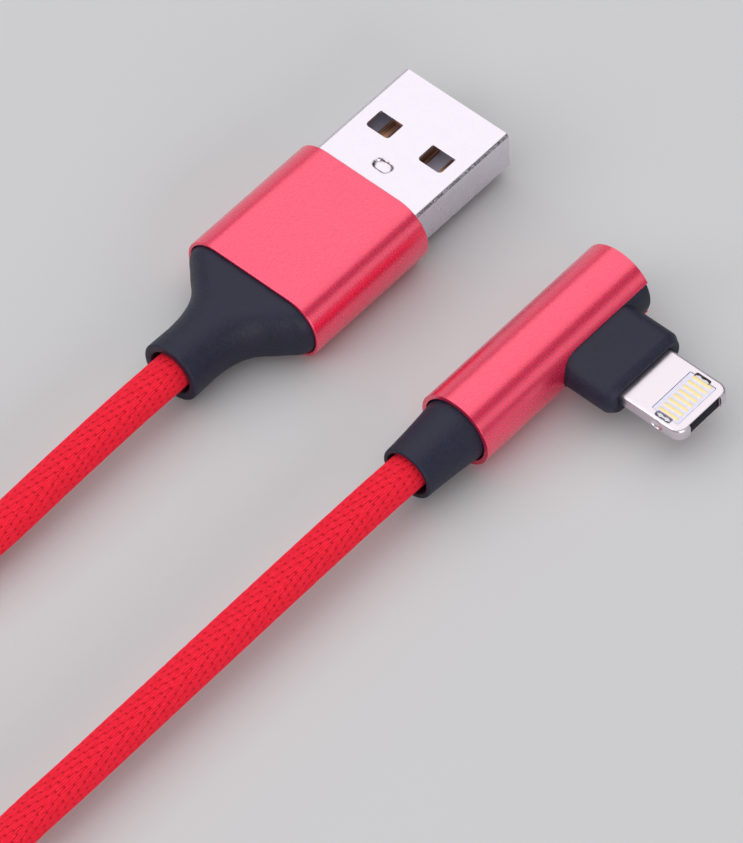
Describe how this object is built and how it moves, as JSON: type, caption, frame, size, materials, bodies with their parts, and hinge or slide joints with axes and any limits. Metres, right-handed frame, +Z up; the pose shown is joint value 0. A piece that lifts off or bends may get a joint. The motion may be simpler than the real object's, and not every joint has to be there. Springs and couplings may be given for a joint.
{
  "type": "charging cable",
  "caption": "Red braided charging cable, its spare length coiled, with a USB-A plug in a flat anodised sleeve and a right-angle eight-pin phone plug on a round one",
  "frame": {"origin": "on the surface that the plugs rest on, under the middle of the box round the two plugs", "axes": "+X from the USB plug across to the phone plug's tip, +Y the way the USB plug points, away from its cord, +Z up"},
  "size_m": [0.059, 0.1468, 0.0077],
  "materials": {
    "anodised": "fine bead-blast, anodised red",
    "plated_steel": "satin nickel plate",
    "polished_steel": "polished stainless steel",
    "moulding": "matt navy moulding",
    "insulator": "moulded",
    "carrier": "moulded, pale grey",
    "gold": "gold flash",
    "brass": "stamped",
    "braid": "fine woven braid over the jacket",
    "wire": "wire insulation",
    "board": "circuit board",
    "chip": "chip package"
  },
  "bodies": {
    "root": {"usb_sleeve": "anodised", "usb_inner_mould": "moulding", "usb_boot": "moulding", "usb_shell": "plated_steel", "usb_tongue": "insulator", "usb_contact_power": "brass", "usb_contact_data_minus": "brass", "usb_contact_data_plus": "brass", "usb_contact_ground": "brass", "usb_jacket_end": "braid", "usb_crimp": "plated_steel", "usb_wire_power": "wire", "usb_wire_data_minus": "wire", "usb_wire_data_plus": "wire", "usb_wire_ground": "wire", "elbow_sleeve": "anodised", "elbow_body": "moulding", "elbow_boot": "moulding", "plug_frame": "polished_steel", "plug_carrier": "carrier", "plug_contact_top_1": "gold", "plug_contact_top_2": "gold", "plug_contact_top_3": "gold", "plug_contact_top_4": "gold", "plug_contact_top_5": "gold", "plug_contact_top_6": "gold", "plug_contact_top_7": "gold", "plug_contact_top_8": "gold", "plug_contact_bottom_1": "gold", "plug_contact_bottom_2": "gold", "plug_contact_bottom_3": "gold", "plug_contact_bottom_4": "gold", "plug_contact_bottom_5": "gold", "plug_contact_bottom_6": "gold", "plug_contact_bottom_7": "gold", "plug_contact_bottom_8": "gold", "plug_retainer_near": "polished_steel", "plug_retainer_far": "polished_steel", "plug_nose_insert": "insulator", "plug_board": "board", "plug_chip": "chip", "elbow_jacket_end": "braid", "elbow_ferrule": "plated_steel", "elbow_wire_power": "wire", "elbow_wire_data_minus": "wire", "elbow_wire_data_plus": "wire", "elbow_wire_ground": "wire", "cord_usb_run": "braid", "cord_coil": "braid", "cord_elbow_run": "braid"}
  },
  "joints": []
}
